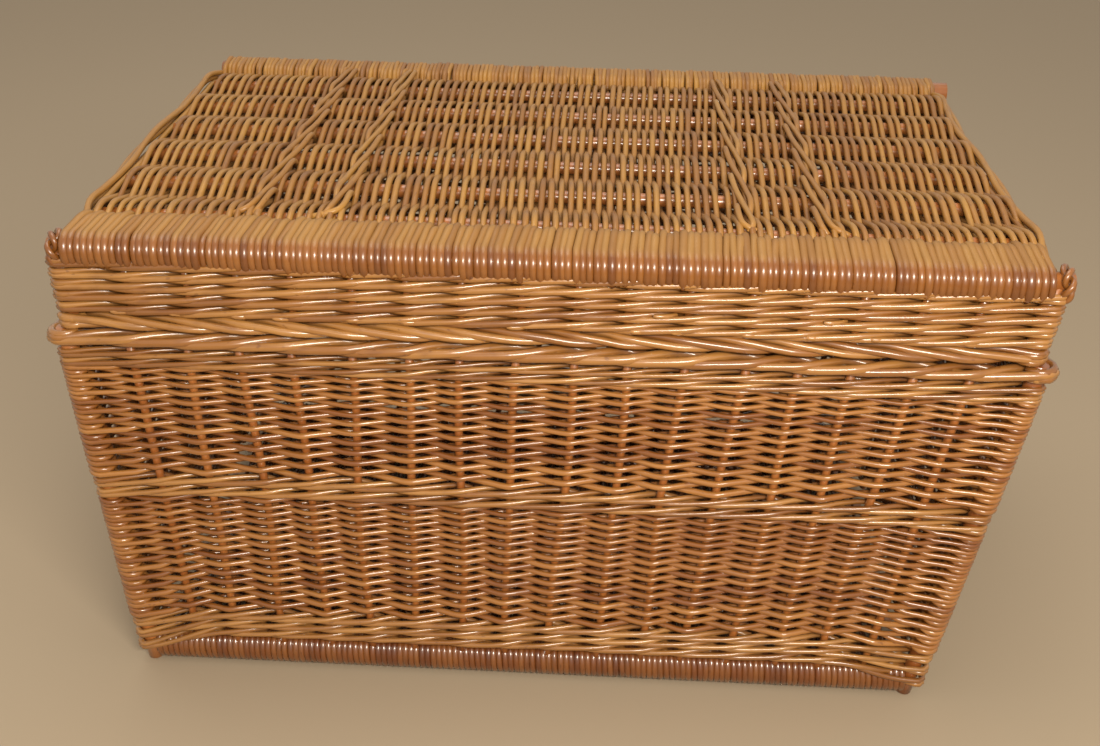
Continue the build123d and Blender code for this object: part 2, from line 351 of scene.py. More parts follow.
def randing_line(ring, z, phase, swing, wrap, seed):
    """One round of plain weave: outside every other stake, and an extra turn round a post that it
    would leave bare."""
    line = []

    def spot_at(k, side, lift=0.0):
        at = k % RING
        level = z + lift + hand_wobble(at, z, 1.0, LEVEL_WOBBLE)
        level += hand_wobble(at, z * 9.1, seed, 0.22)
        n = wall_normal(at)
        spot = ring.place(at, level) + side * n
        line.append([spot[0], spot[1], level - ring.droop(at, level), k, n[0], n[1]])

    def beside_post(k, shares, sides):
        for t, side in zip(shares, sides):
            spot_at(k + t, side, 1.2 * (t - 0.5))

    for k in range(LAPS * RING):
        out = 1 if (k % RING + phase) % 2 == 0 else -1
        if k % RING in POSTS:
            level = z + hand_wobble(k % RING, z, 1.0, LEVEL_WOBBLE)
            arc = wrapped_post(ring, k % RING, level, wrap, out > 0)
            for knot in arc:
                knot[3] = k + (knot[3] - k % RING) * 0.05
            line += arc
            beside_post(k, (0.36, 0.62, 0.88), (5.6, 4.6, -1.5) if out > 0 else (-0.5, 2.6, 5.2))
            continue
        spot_at(k, out * swing)
        if (k + 1) % RING in POSTS:
            beside_post(k, (0.12, 0.38, 0.64), (5.2, 2.6, -0.5) if out > 0 else (-1.5, 4.6, 5.6))
            continue
        for t, lift in ((0.07, 0.25), (0.18, 0.5), (0.82, 0.5), (0.93, 0.25)):
            spot_at(k + t, out * swing * bent_over(t), out * lift)
    return np.array(line)


# where a waling rod lies through its three steps: (out, up), outside two stakes, then inside one
WALE_STEPS = {
    0.0: (0.05, -1.05), 0.5: (0.88, -0.8), 1.0: (1.1, -0.1),
    1.5: (1.1, 0.65), 2.0: (0.25, 1.0), 2.5: (-1, 0.1),
}


def waling_knots(ring, z, strand, swing, inner, wrap, rise, seed, slant=1):
    """One rod of a three-rod wale. slant is 1 where its strokes rise along the ring."""
    knots = []
    for half in range(2 * LAPS * RING + 1):
        k = half / 2
        side, up = WALE_STEPS[(k - strand + 0.5) % 3]
        at = k % RING
        lift = (slant * rise * 0.87 * up + hand_wobble(at, z, 1.0, LEVEL_WOBBLE)
                + hand_wobble(at, z * 7.3, seed, 0.25))
        if half % 2 == 0 and at in POSTS:
            if side > 0:
                turn = math.radians(38)
                arc = post_arc(ring, at, z, wrap, (-turn, 0, turn), (lift, lift, lift))
            else:
                arc = post_arc(ring, at, z, POST_R + 2.0, (math.pi,), (lift,))
            for knot in arc:
                knot[3] = k + (knot[3] - at) * 0.05
            knots += arc
            continue
        n = wall_normal(at)
        spot = ring.place(at, z) + side * (swing if side > 0 else inner) * n
        knots.append([spot[0], spot[1], z - ring.droop(at, z) + lift, k, n[0], n[1]])
    return np.array(knots)


def cut_lengths(line, joins, radius, chance, tuck=3.0, taper=0.16, overlap=0.45):
    """Cuts a round into rods that start and end inside the wall, each thicker at its butt."""
    rods = []
    for start, end in zip(joins, joins[1:] + [joins[0] + RING]):
        start, end = start - overlap, end + overlap
        if start < 0:
            start, end = start + RING, end + RING
        part = line[(line[:, 3] >= start) & (line[:, 3] <= end)]
        if len(part) < 4:
            continue
        along = part[:, 3]
        near = np.minimum(along - start, end - along)
        inward = tuck * np.clip(1 - near / 0.8, 0, 1) ** 2
        part = part.copy()
        part[:, 0] -= inward * part[:, 4]
        part[:, 1] -= inward * part[:, 5]
        share = (along - start) / (end - start)
        if chance.random() < 0.5:
            share = 1 - share
        thick = radius * (1 + taper * (0.5 - share)) * (1 + 0.05 * (chance.random() - 0.5))
        rods.append(rod(part, thick))
    return rods


def wall_depth(places):
    """How far out of the wall's middle a point lies, from 0 inside to 1 at the outermost."""
    z = np.clip(places[:, 2], 0, SEAM)
    over_x = np.abs(places[:, 0] - centre_x(z)) - (half_length(z) - STAKE_INSET)
    over_y = np.abs(places[:, 1]) - (half_width(z) - STAKE_INSET)
    return (np.maximum(over_x, over_y) + 5.0) / 12.5


# ------------------------------------------------------------------ willow finishes
def node(tree, kind, **settings):
    """A new shader node with its settings."""
    made = tree.nodes.new(kind)
    for key, value in settings.items():
        setattr(made, key, value)
    return made


def arithmetic(tree, operation, a, b=None, c=None, clamp=False):
    """A sum on numbers or on the outputs of other nodes."""
    made = node(tree, "ShaderNodeMath", operation=operation, use_clamp=clamp)
    for place, value in enumerate((a, b, c)):
        if value is None:
            continue
        if isinstance(value, (int, float)):
            made.inputs[place].default_value = value
        else:
            tree.links.new(value, made.inputs[place])
    return made.outputs[0]


def blend_colours(tree, share, a, b):
    """A colour that goes from a to b with the share."""
    made = node(tree, "ShaderNodeMix", data_type="RGBA")
    for place, value in ((0, share), (6, a), (7, b)):
        if isinstance(value, (int, float)):
            made.inputs[place].default_value = value
        elif isinstance(value, tuple):
            made.inputs[place].default_value = (*value, 1.0)
        else:
            tree.links.new(value, made.inputs[place])
    return made.outputs[2]


def spread(tree, value, low_in, high_in, low_out=0.0, high_out=1.0):
    """Stretches one range of a value over another, softly at both ends."""
    made = node(tree, "ShaderNodeMapRange", interpolation_type="SMOOTHSTEP")
    tree.links.new(value, made.inputs[0])
    for place, number in zip((1, 2, 3, 4), (low_in, high_in, low_out, high_out)):
        made.inputs[place].default_value = number
    return made.outputs[0]


def noise(tree, vector, detail=2.0, rough=0.5):
    """Soft random patches over a vector."""
    made = node(tree, "ShaderNodeTexNoise", noise_dimensions="3D")
    tree.links.new(vector, made.inputs["Vector"])
    made.inputs["Scale"].default_value = 1.0
    made.inputs["Detail"].default_value = detail
    made.inputs["Roughness"].default_value = rough
    return made.outputs["Fac"]


def willow_skin_group():
    """Varnished willow skin: each rod has its own shade, with streaks along it, mottling, dark growth
    marks, dust, painted shade deep in the weave, and pale wood where it is cut."""
    tree = bpy.data.node_groups.new("willow_skin", "ShaderNodeTree")
    for name, kind, default in (
        ("Pale", "NodeSocketColor", (0.6, 0.34, 0.12, 1)),
        ("Middle", "NodeSocketColor", (0.42, 0.19, 0.05, 1)),
        ("Deep", "NodeSocketColor", (0.16, 0.05, 0.012, 1)),
        ("Dust", "NodeSocketColor", (0.3, 0.26, 0.24, 1)),
        ("Dust amount", "NodeSocketFloat", 0.0),
        ("Shine", "NodeSocketFloat", 0.25),
        ("Worn", "NodeSocketColor", (0.5, 0.28, 0.08, 1)),
        ("Varnish", "NodeSocketFloat", 0.8),
    ):
        socket = tree.interface.new_socket(name=name, in_out="INPUT", socket_type=kind)
        socket.default_value = default
    for name, kind in (("Colour", "NodeSocketColor"), ("Roughness", "NodeSocketFloat"),
                       ("Height", "NodeSocketFloat"), ("Coat", "NodeSocketFloat")):
        tree.interface.new_socket(name=name, in_out="OUTPUT", socket_type=kind)
    given = node(tree, "NodeGroupInput").outputs
    shade, cut, deep, worn = (
        node(tree, "ShaderNodeAttribute", attribute_name=key).outputs["Fac"]
        for key in ("rod_shade", "rod_cut", "rod_depth", "rod_wear"))
    grain = node(tree, "ShaderNodeAttribute", attribute_name="rod_grain").outputs["Vector"]

    def stretched(x, y, z):
        made = node(tree, "ShaderNodeMapping")
        tree.links.new(grain, made.inputs["Vector"])
        made.inputs["Scale"].default_value = (x, y, z)
        return made.outputs["Vector"]

    streaks = noise(tree, stretched(2.6, 2.6, 0.035), 3.0, 0.6)
    mottle = noise(tree, stretched(0.5, 0.5, 0.045))
    patches = noise(tree, stretched(0.15, 0.15, 0.011), 1.0)
    fibres = noise(tree, stretched(5.0, 5.0, 0.25))
    marks = noise(tree, stretched(0.9, 0.9, 0.16), 1.0)

    # a rod's own shade moves it between the pale and the deeper golden brown
    own = arithmetic(tree, "MULTIPLY_ADD", shade, 0.95, 0.02)
    drift = arithmetic(tree, "MULTIPLY_ADD", patches, 1.0, -0.5)
    own = arithmetic(tree, "ADD", own, drift, clamp=True)
    colour = blend_colours(tree, own, given["Pale"], given["Middle"])
    colour = blend_colours(tree, spread(tree, shade, 0.8, 0.9, 0.0, 0.3), colour, given["Deep"])
    streaky = spread(tree, streaks, 0.46, 0.72, 0.0, 0.5)
    colour = blend_colours(tree, streaky, colour, given["Middle"])
    mottled = spread(tree, mottle, 0.5, 0.75, 0.0, 0.35)
    colour = blend_colours(tree, mottled, colour, given["Deep"])
    knots = spread(tree, marks, 0.68, 0.76, 0.0, 0.45)
    colour = blend_colours(tree, knots, colour, given["Deep"])
    faded = arithmetic(tree, "MULTIPLY_ADD", own, -0.4, 0.95)
    faded = arithmetic(tree, "MULTIPLY", worn, faded, clamp=True)
    colour = blend_colours(tree, faded, colour, given["Worn"])
    # painted shade: the rods darken towards the inside of the weave, where shade falls between them
    painted_shade = spread(tree, deep, 0.1, 0.75, 0.36, 0.0)
    colour = blend_colours(tree, painted_shade, colour, given["Deep"])
    dusty = arithmetic(tree, "MULTIPLY", spread(tree, mottle, 0.3, 0.7), given["Dust amount"])
    colour = blend_colours(tree, dusty, colour, given["Dust"])
    colour = blend_colours(tree, cut, colour, (0.72, 0.52, 0.3))

    rough = arithmetic(tree, "ADD", given["Shine"], spread(tree, streaks, 0.3, 0.75, -0.05, 0.14))
    rough = arithmetic(tree, "ADD", rough, spread(tree, deep, 0.1, 0.7, 0.2, 0.0))
    rough = arithmetic(tree, "ADD", rough, arithmetic(tree, "MULTIPLY", dusty, 0.3), clamp=True)
    rough = arithmetic(tree, "ADD", rough, arithmetic(tree, "MULTIPLY", worn, 0.25), clamp=True)
    unworn = arithmetic(tree, "MULTIPLY_ADD", worn, -0.9, 1.0)
    coat = arithmetic(tree, "MULTIPLY", given["Varnish"], unworn)
    relief = arithmetic(tree, "MULTIPLY", fibres, 0.4)
    relief = arithmetic(tree, "ADD", arithmetic(tree, "MULTIPLY", streaks, 0.6), relief)
    relief = arithmetic(tree, "ADD", relief, arithmetic(tree, "MULTIPLY", marks, 0.3))
    out = node(tree, "NodeGroupOutput")
    for name, value in (("Colour", colour), ("Roughness", rough), ("Height", relief), ("Coat", coat)):
        tree.links.new(value, out.inputs[name])
    return tree


WILLOW_SKIN = willow_skin_group()


WORN_WILLOW = (0.31, 0.158, 0.038)
GRAIN_STRENGTH, GRAIN_RELIEF = 0.25, 0.0004
WILLOW_IOR = 1.5


def willow_finish(name, pale, middle, deep, shine=0.3, coat=1.0, dust=0.0, gloss=0.16):
    """A varnished willow material from three browns. shine and gloss are the roughness of the rods
    and of their varnish, and coat is how much varnish they have."""
    material = bpy.data.materials.new(name)
    material.use_nodes = True
    tree = material.node_tree
    shader = tree.nodes["Principled BSDF"]
    skin = node(tree, "ShaderNodeGroup")
    skin.node_tree = WILLOW_SKIN
    for key, value in (("Pale", pale), ("Middle", middle), ("Deep", deep)):
        skin.inputs[key].default_value = (*value, 1)
    skin.inputs["Dust amount"].default_value = dust
    skin.inputs["Shine"].default_value = shine
    skin.inputs["Varnish"].default_value = coat
    skin.inputs["Worn"].default_value = (*WORN_WILLOW, 1)
    tree.links.new(skin.outputs["Colour"], shader.inputs["Base Color"])
    tree.links.new(skin.outputs["Roughness"], shader.inputs["Roughness"])
    relief = node(tree, "ShaderNodeBump")
    relief.inputs["Strength"].default_value = GRAIN_STRENGTH
    relief.inputs["Distance"].default_value = GRAIN_RELIEF
    tree.links.new(skin.outputs["Height"], relief.inputs["Height"])
    tree.links.new(relief.outputs["Normal"], shader.inputs["Normal"])
    shader.inputs["IOR"].default_value = WILLOW_IOR
    tree.links.new(skin.outputs["Coat"], shader.inputs["Coat Weight"])
    shader.inputs["Coat Roughness"].default_value = gloss
    shader.inputs["Coat IOR"].default_value = WILLOW_IOR
    return material


def wall_willow():
    """The thin weaving rods of the walls."""
    return willow_finish("wall_willow", (0.38, 0.16, 0.035), (0.23, 0.073, 0.01),
                         (0.11, 0.026, 0.0048))


def wale_willow():
    """The stouter and paler rods of the waled bands and the borders."""
    return willow_finish("wale_willow", (0.4, 0.19, 0.049), (0.25, 0.093, 0.017),
                         (0.1, 0.026, 0.0059))


def stick_willow():
    """The redder stakes, posts and sticks."""
    return willow_finish("stick_willow", (0.42, 0.15, 0.035), (0.3, 0.09, 0.018),
                         (0.13, 0.035, 0.008), shine=0.35)


def foot_willow():
    """The dark wrapped rods of the base."""
    return willow_finish("foot_willow", (0.21, 0.071, 0.014), (0.14, 0.036, 0.0063),
                         (0.059, 0.014, 0.0028))


def lid_willow():
    """The top of the lid, worn dull."""
    return willow_finish("lid_willow", (0.38, 0.19, 0.034), (0.27, 0.11, 0.016),
                         (0.15, 0.054, 0.0098), shine=0.45, coat=0.12, dust=0.05)


def lid_edge_willow():
    """The wraps of the front edge of the lid, its knots and the hinge loops."""
    return willow_finish("lid_edge_willow", (0.25, 0.09, 0.016), (0.17, 0.052, 0.0074),
                         (0.088, 0.022, 0.0037), coat=0.8, gloss=0.26)


WALL_WILLOW, WALE_WILLOW, STICK_WILLOW = wall_willow(), wale_willow(), stick_willow()
FOOT_WILLOW, LID_WILLOW, LID_EDGE_WILLOW = foot_willow(), lid_willow(), lid_edge_willow()

# ------------------------------------------------------------------ walls of the body
def joins_among(places, count, away, chance):
    """Where the rods of a round meet: so many places round the ring, each up to away off its share."""
    start = int(chance.integers(len(places)))
    picks = {start + i * len(places) // count + int(chance.integers(-away, away + 1))
             for i in range(count)}
    return sorted({places[pick % len(places)] for pick in picks})


def woven_field(node_name, bottom, top, rows, thick, thin, seed):
    """A field of plain weave, with the odd and the even rounds outside alternate stakes. The rods are
    thicker and further apart at its foot."""
    chance = np.random.default_rng(seed)
    rods = []
    for row in range(rows):
        share = (row + 0.5) / rows
        z = bottom + (top - bottom) * (1.22 * share - 0.22 * share**2)
        radius = thick + (thin - thick) * share
        phase = row % 2
        line = randing_line(BODY, z, phase, STAKE_R + radius, POST_R + radius, seed + row)
        inside = [k for k in range(RING) if (k + phase) % 2 == 1 and k not in POSTS]
        count = 4 if chance.random() < 0.6 else 5
        rods += cut_lengths(line, joins_among(inside, count, 2, chance), radius, chance)
    willow_piece(f"willow_{node_name}", rods, WALL_WILLOW, "basket", [node_name], seed,
                 depth=wall_depth)


def corner_turns(ring, levels, radius, wrap):
    """Single rods turned round each corner post."""
    angles = np.radians(np.linspace(-118, 118, 9))
    rises = np.linspace(-0.8, 0.8, 9)
    return [rod(np.array(post_arc(ring, k, z, wrap, angles, rises)), radius)
            for k in POSTS for z in levels]


WRAP_CLEAR = 2.0                   # a waling rod stands this much further out at a post
WALE_TIGHT = 0.6                   # and lies this much closer to the stakes inside


def waled_band(node_name, ring, body, rounds, radius, rise, seed, slant=1, swing=None, sides=6,
               extra=()):
    """Rounds of three-rod waling at a list of middle heights."""
    chance = np.random.default_rng(seed)
    rods = []
    out = STAKE_R + radius if swing is None else swing
    for turn, z in enumerate(rounds):
        for strand in range(3):
            knots = waling_knots(ring, z, strand + turn, out, STAKE_R + radius - WALE_TIGHT,
                                 out + WRAP_CLEAR, rise, seed + 7 * turn + strand, slant)
            inside = [k for k in range(RING)
                      if (k - strand - turn + 0.5) % 3 == 2.5 and k not in POSTS]
            joins = joins_among(inside, 4, 1, chance)
            rods += cut_lengths(smooth_line(knots, 3), joins, radius, chance, tuck=2.0, taper=0.2)
    rods += extra
    willow_piece(f"willow_{node_name}", rods, WALE_WILLOW, body, [node_name], seed,
                 sides=sides, depth=wall_depth)


def upright_rods(ring, places, bottom, top, radius, steps):
    """Stakes or posts that follow their places on the ring."""
    levels = np.linspace(bottom, top, steps)
    return [rod([[*ring.place(k, z), z] for z in levels], radius) for k in places]


def stakes():
    sides = zip(("front", "right", "rear", "left"), POSTS, (*POSTS[1:], RING))
    for seed, (name, before, after) in enumerate(sides, 40):
        rods = upright_rods(BODY, range(before + 1, after), 26.0, BORDER_Z - 7, STAKE_R, 16)
        willow_piece(f"willow_{name}_stakes", rods, STICK_WILLOW, "basket", [f"{name}_stakes"],
                     seed, sides=8, depth=wall_depth)
    posts = upright_rods(BODY, POSTS, 1.5, SEAM - 1.5, POST_R, 16)
    willow_piece("willow_corner_posts", posts, STICK_WILLOW, "basket", ["corner_posts"],
                 44, sides=12)


def body_walls():
    stakes()
    woven_field("lower_weave", low("lower_weave").z - 1, 186.5, 28, 2.75, 2.1, 100)
    woven_field("upper_weave", 209.0, 311.0, 23, 2.7, 1.95, 200)
    waled_band("bottom_wale", BODY, "basket", (38.5, 48.0, 57.5), 2.5, 2.8, 300)
    waled_band("middle_wale", BODY, "basket", (192.5, 203.0), 2.4, 2.9, 330)
    waled_band("top_wale", BODY, "basket", (314.0, 322.0), 2.2, 2.4, 360)
    turns = corner_turns(BODY, (BORDER_Z - 1.5, BORDER_Z + 4.5), 3.2, 10.2)
    waled_band("top_border", BODY, "basket", (BORDER_Z + 0.8,), 3.7, 2.6, 390, swing=8.8, sides=8,
               extra=turns)


# ------------------------------------------------------------------ walls of the lid
LID_FOOT, LID_TOP = low("lid_border").z, high("lid_wale").z


def cut_end(ring, k, z, reach, radius, side, chance):
    """The cut end of a rod that comes out of the wall and lies along it, on one side of its place."""
    n = wall_normal(k)
    along = side * np.array([-n[1], n[0]])
    line = []
    for t in (0.0, 0.3, 0.6, 0.85, 1.0):
        out = reach - 6.0 * (1 - t) ** 2
        spot = ring.place(k, z) + out * n + (17.0 * t - 12.0) * along
        line.append([spot[0], spot[1], z + 1.2 * t])
    return rod(line, radius * np.array([1, 1, 1, 0.95, 0.6]), shade=0.3 * chance.random(), cut=0.6)


def lid_cut_ends(heights):
    """One cut end beside most stakes above the rolled border, and a few where weaving rods end."""
    chance = np.random.default_rng(455)
    places = [k for k in range(RING) if k not in POSTS]
    above_border = high("lid_border").z + 0.5
    rods = []
    for k in places:
        if chance.random() < 0.8:
            at = k + 0.15 * chance.normal()
            rods.append(cut_end(LID, at, above_border + 0.5 * chance.normal(), 8.2, 2.3, -1, chance))
    for z in heights[1:]:
        for k in chance.choice(places, 5, replace=False):
            rods.append(cut_end(LID, k + 0.5, z + 2.0, 8.8, 2.2, -1, chance))
    return rods


def lid_walls():
    border = (low("lid_border").z + high("lid_border").z) / 2
    turns = corner_turns(LID, (LID_FOOT + 3.0, LID_FOOT + 8.5), 3.0, 9.6)
    waled_band("lid_border", LID, "lid", (border - 1.2,), 3.3, 4.0, 420, slant=-1, swing=6.6, sides=8,
               extra=turns)
    first, last = high("lid_border").z + 2.5, LID_TOP - 1.5
    heights = [first + i * (last - first) / 4 for i in range(5)]
    waled_band("lid_wale", LID, "lid", heights, 2.75, 2.6, 450, extra=lid_cut_ends(heights))
    places = [k for k in range(RING) if k not in POSTS]
    rods = upright_rods(LID, places, LID_FOOT + 4, LID_TOP - 3, STAKE_R, 3)
    willow_piece("willow_lid_stakes", rods, STICK_WILLOW, "lid", ["lid_stakes"], 46,
                 sides=8)
    rods = upright_rods(LID, POSTS, LID_FOOT - 1, LID_TOP + 6, POST_R, 3)
    willow_piece("willow_lid_corner_posts", rods, STICK_WILLOW, "lid", ["lid_corner_posts"],
                 47, sides=12)


# ------------------------------------------------------------------ sticks, wraps and square work
def level_stick(y, z, left, right, radius, steps=12):
    """A straight stick along the basket, with pale cut ends."""
    x = np.linspace(left, right, steps)
    return rod(np.stack([x, np.full(steps, y), np.full(steps, z)], 1), radius, cut=0.7)


TURN_STEPS = 14


def wrapped_stick(y, z, left, right, core, radius, pitch, lowest, chance):
    """Rods wound closely round a stick, up to three turns to each, and pressed flat on the floor
    where they would reach below lowest."""
    turns = int((right - left) / pitch)
    rods, turn = [], 0
    while turn < turns:
        count = min(int(chance.integers(1, 4)), turns - turn)
        a = np.linspace(0, TURN * count, count * TURN_STEPS + 1)
        x = left + (turn + a / TURN + 0.08 * np.sin(a + chance.random() * TURN)) * pitch
        reach = core + radius
        dy, dz = reach * np.cos(a - math.pi / 2), reach * np.sin(a - math.pi / 2)
        thick = radius * (1 + 0.06 * (chance.random() - 0.5))
        rods.append(rod(np.stack([x, y + dy, np.maximum(z + dz, lowest + radius)], 1), thick))
        turn += count
    return rods


# the tail of a wrap: shares of its length, and how far it lies below the straight line there
TAIL_DIPS = ((1.0, 11.0), (0.9, 5.5), (0.76, 1.6), (0.55, 0.3), (0.3, 0.2), (0.1, 0.1))


def tailed_wraps(y, z, left, right, core, radius, pitch, tail, top, chance, sign=1, lean=0.0):
    """Single turns round a stick, pressed close together. Each leaves the top of the stick and lies
    flat on the woven top as far as tail, where it dips between the rods; top is the height there.
    sign is 1 where the tails point to the back, and lean turns them aside."""
    rods = []
    for turn in range(int((right - left) / pitch)):
        x = left + (turn + 0.5) * pitch + 0.3 * chance.normal()
        out = core + radius + 0.4 * chance.normal()
        a = np.linspace(math.radians(98), math.radians(98) + 1.58 * math.pi, 17)
        along = x + 0.9 * (a - a[0]) / TURN * pitch * 0.5
        arc = np.stack([along, y + sign * out * np.cos(a), z + out * np.sin(a)], 1)
        run = tail * (1 + 0.08 * chance.normal())
        aside = lean * (x / 370.0 - 0.5) + 0.8 * chance.normal()
        rise = top - (z + out)
        ahead = [[x - aside * share, y + sign * share * run,
                  z + out + rise * min(share * 1.6, 1) - dip] for share, dip in TAIL_DIPS]
        thick = radius * (1 + 0.07 * chance.normal())
        rods.append(rod(np.vstack([smooth_line(ahead, 2), arc]), thick))
    return rods


LID_STICK_Z = (low("lid_front_stick").z + high("lid_front_stick").z) / 2
LID_FRONT_Y = (low("lid_front_stick").y + high("lid_front_stick").y) / 2
LID_REAR_Y = (low("lid_rear_stick").y + high("lid_rear_stick").y) / 2
LID_PANEL_FRONT, LID_PANEL_REAR = 427.0, 424.0
PANEL_HALF = 9.0                   # from the top of the woven panel down to its sticks
FRONT_STICK_Z, FRONT_STICK_Y = LID_STICK_Z - 8.6, LID_FRONT_Y - 2.4
FRONT_STICK_R, REAR_STICK_R, INNER_R = 8.5, 10.5, 5.5
INNER_PITCH = 72.0
INNER_STICKS = [-190.0 + INNER_PITCH * i for i in range(6)]
LID_LEAN = 4.5                     # the lid goes on leaning as the walls do


def lid_share(y):
    """0 at the front stick of the lid, and 1 at its rear stick."""
    return (y - LID_FRONT_Y) / (LID_REAR_Y - LID_FRONT_Y)


def panel_top(y):
    return LID_PANEL_FRONT + (LID_PANEL_REAR - LID_PANEL_FRONT) * lid_share(y)


def lid_left(y):
    share = lid_share(y)
    return LID_LEAN - 351.0 - 8.0 * share * (1 - share) - 10.0 * share


def lid_right(y):
    share = lid_share(y)
    return LID_LEAN + 362.0 - 24.0 * share * (1 - share) + 1.5 * share


def lid_depth(places):
    """How far a point stands above the middle of the lid top."""
    return (places[:, 2] - panel_top(places[:, 1]) + 11.0) / 11.0


def front_wear(places):
    """The top of the front wraps is worn dull, and their front keeps its varnish."""
    return (places[:, 2] - FRONT_STICK_Z - 12.2) / 2.5


def lid_sticks():
    chance = np.random.default_rng(61)
    left, right = low("lid_front_stick").x, high("lid_front_stick").x
    front = level_stick(FRONT_STICK_Y, FRONT_STICK_Z, LID_LEAN + left, LID_LEAN + right, FRONT_STICK_R)
    left, right = low("lid_rear_stick").x + 10, high("lid_rear_stick").x
    rear = level_stick(LID_REAR_Y, LID_STICK_Z, LID_LEAN + left, LID_LEAN + right, REAR_STICK_R)
    inner = [level_stick(y, panel_top(y) - PANEL_HALF, lid_left(y) - 1, lid_right(y) + 1, INNER_R, 20)
             for y in INNER_STICKS]
    for piece in inner:
        piece["line"][:, 1] += 1.5 * np.sin(piece["line"][:, 0] * 0.011 + chance.random() * 6)
    for name, sticks, seed, sides in (("lid_front_stick", [front], 60, 16),
                                      ("lid_rear_stick", [rear], 61, 16),
                                      ("lid_inner_sticks", inner, 62, 8)):
        willow_piece(f"willow_{name}", sticks, STICK_WILLOW, "lid", [name], seed,
                     sides=sides)


LID_PASSES, LID_ROD_R = 184, 2.6


def lid_pass(i, share, chance):
    """One rod of the lid top, from front to back over and under the sticks."""
    drift = chance.normal(0, 0.5)
    knots = []

    def knot(y, z, aside=0.0):
        x = lid_left(y) + (lid_right(y) - lid_left(y)) * share
        knots.append([x + aside + drift * math.sin(0.013 * y + i), y, z])

    knot(LID_FRONT_Y + 15, panel_top(LID_FRONT_Y) - PANEL_HALF)
    for j, y in enumerate(INNER_STICKS):
        side = 1 if (j + i) % 2 == 0 else -1
        knot(y, panel_top(y) - PANEL_HALF + side * (INNER_R + LID_ROD_R), 0.35 * side)
        if y != INNER_STICKS[-1]:
            middle = y + INNER_PITCH / 2
            knot(middle, panel_top(middle) - PANEL_HALF)
    knot(LID_REAR_Y - 15, panel_top(LID_REAR_Y) - PANEL_HALF)
    return rod(smooth_line(np.array(knots), 4), LID_ROD_R * (1 + 0.26 * (chance.random() - 0.5)))


def lid_square_work():
    chance = np.random.default_rng(70)
    shares = (np.arange(LID_PASSES) + 0.5) / LID_PASSES
    shares = shares + chance.normal(0, 0.0008, LID_PASSES)
    rods = [lid_pass(i, share, chance) for i, share in enumerate(shares)]
    rods += tailed_wraps(LID_REAR_Y, LID_STICK_Z, LID_LEAN - 362.0, LID_LEAN + 366.0, 9.6, 2.7, 4.05,
                         27.0, LID_PANEL_REAR + 1.5, chance, sign=-1)
    willow_piece("willow_lid_weave", rods, LID_WILLOW, "lid", ["lid_weave"], 70,
                 depth=lid_depth)
    rods = tailed_wraps(FRONT_STICK_Y, FRONT_STICK_Z, LID_LEAN - 366.0, LID_LEAN + 365.0, 8.7, 3.4,
                        5.2, 34.0, LID_PANEL_FRONT - 3.0, chance, lean=7.0)
    willow_piece("willow_lid_front_wraps", rods, LID_EDGE_WILLOW, "lid", ["lid_weave"],
                 71, sides=8, wear=front_wear)


CROSS_R, CROSS_SPREAD = 2.4, 6.0


def lid_cross_rows():
    """Four rows of three stouter rods each, woven over the sticks from front to back. They lean to
    the middle of the lid."""
    rods = []
    for band, x in enumerate((-226.0, -165.0, 148.0, 207.0)):
        slant = 1 if band < 2 else -1
        for strand in range(3):
            knots = [[x + slant * (strand - 1) * 8 - slant * 9, LID_FRONT_Y + 33,
                      panel_top(LID_FRONT_Y) - 4]]
            for k in np.arange(0.0, len(INNER_STICKS) + 0.01, 0.5):
                y = INNER_STICKS[0] + INNER_PITCH * k
                if y > LID_REAR_Y - 14:
                    break
                side, up = WALE_STEPS[(k - strand + band + 0.5) % 3]
                over = INNER_R + 4.8 if side > 0 else -INNER_R - CROSS_R if side < 0 else 3.0
                knots.append([x + slant * 0.9 * CROSS_SPREAD * up, y,
                              panel_top(y) - PANEL_HALF + over])
            knots.append([x + slant * 4, LID_REAR_Y - 13, panel_top(LID_REAR_Y) - 4])
            rods.append(rod(smooth_line(np.array(knots), 5), CROSS_R))
    willow_piece("willow_lid_cross_rows", rods, LID_WILLOW, "lid", ["lid_cross_bands"],
                 80, sides=8, depth=lid_depth)


END_STEPS = 12
# the rods along each end of the top: how far out and up they lie, and their radius
END_RODS = ((1.0, -2.0, 2.7), (5.0, -7.0, 2.7), (3.0, -13.0, 2.7), (-3.0, -8.0, 2.5))
FILLER_SHARES, FILLER_R = (0.28, 0.62, 0.96), 3.4


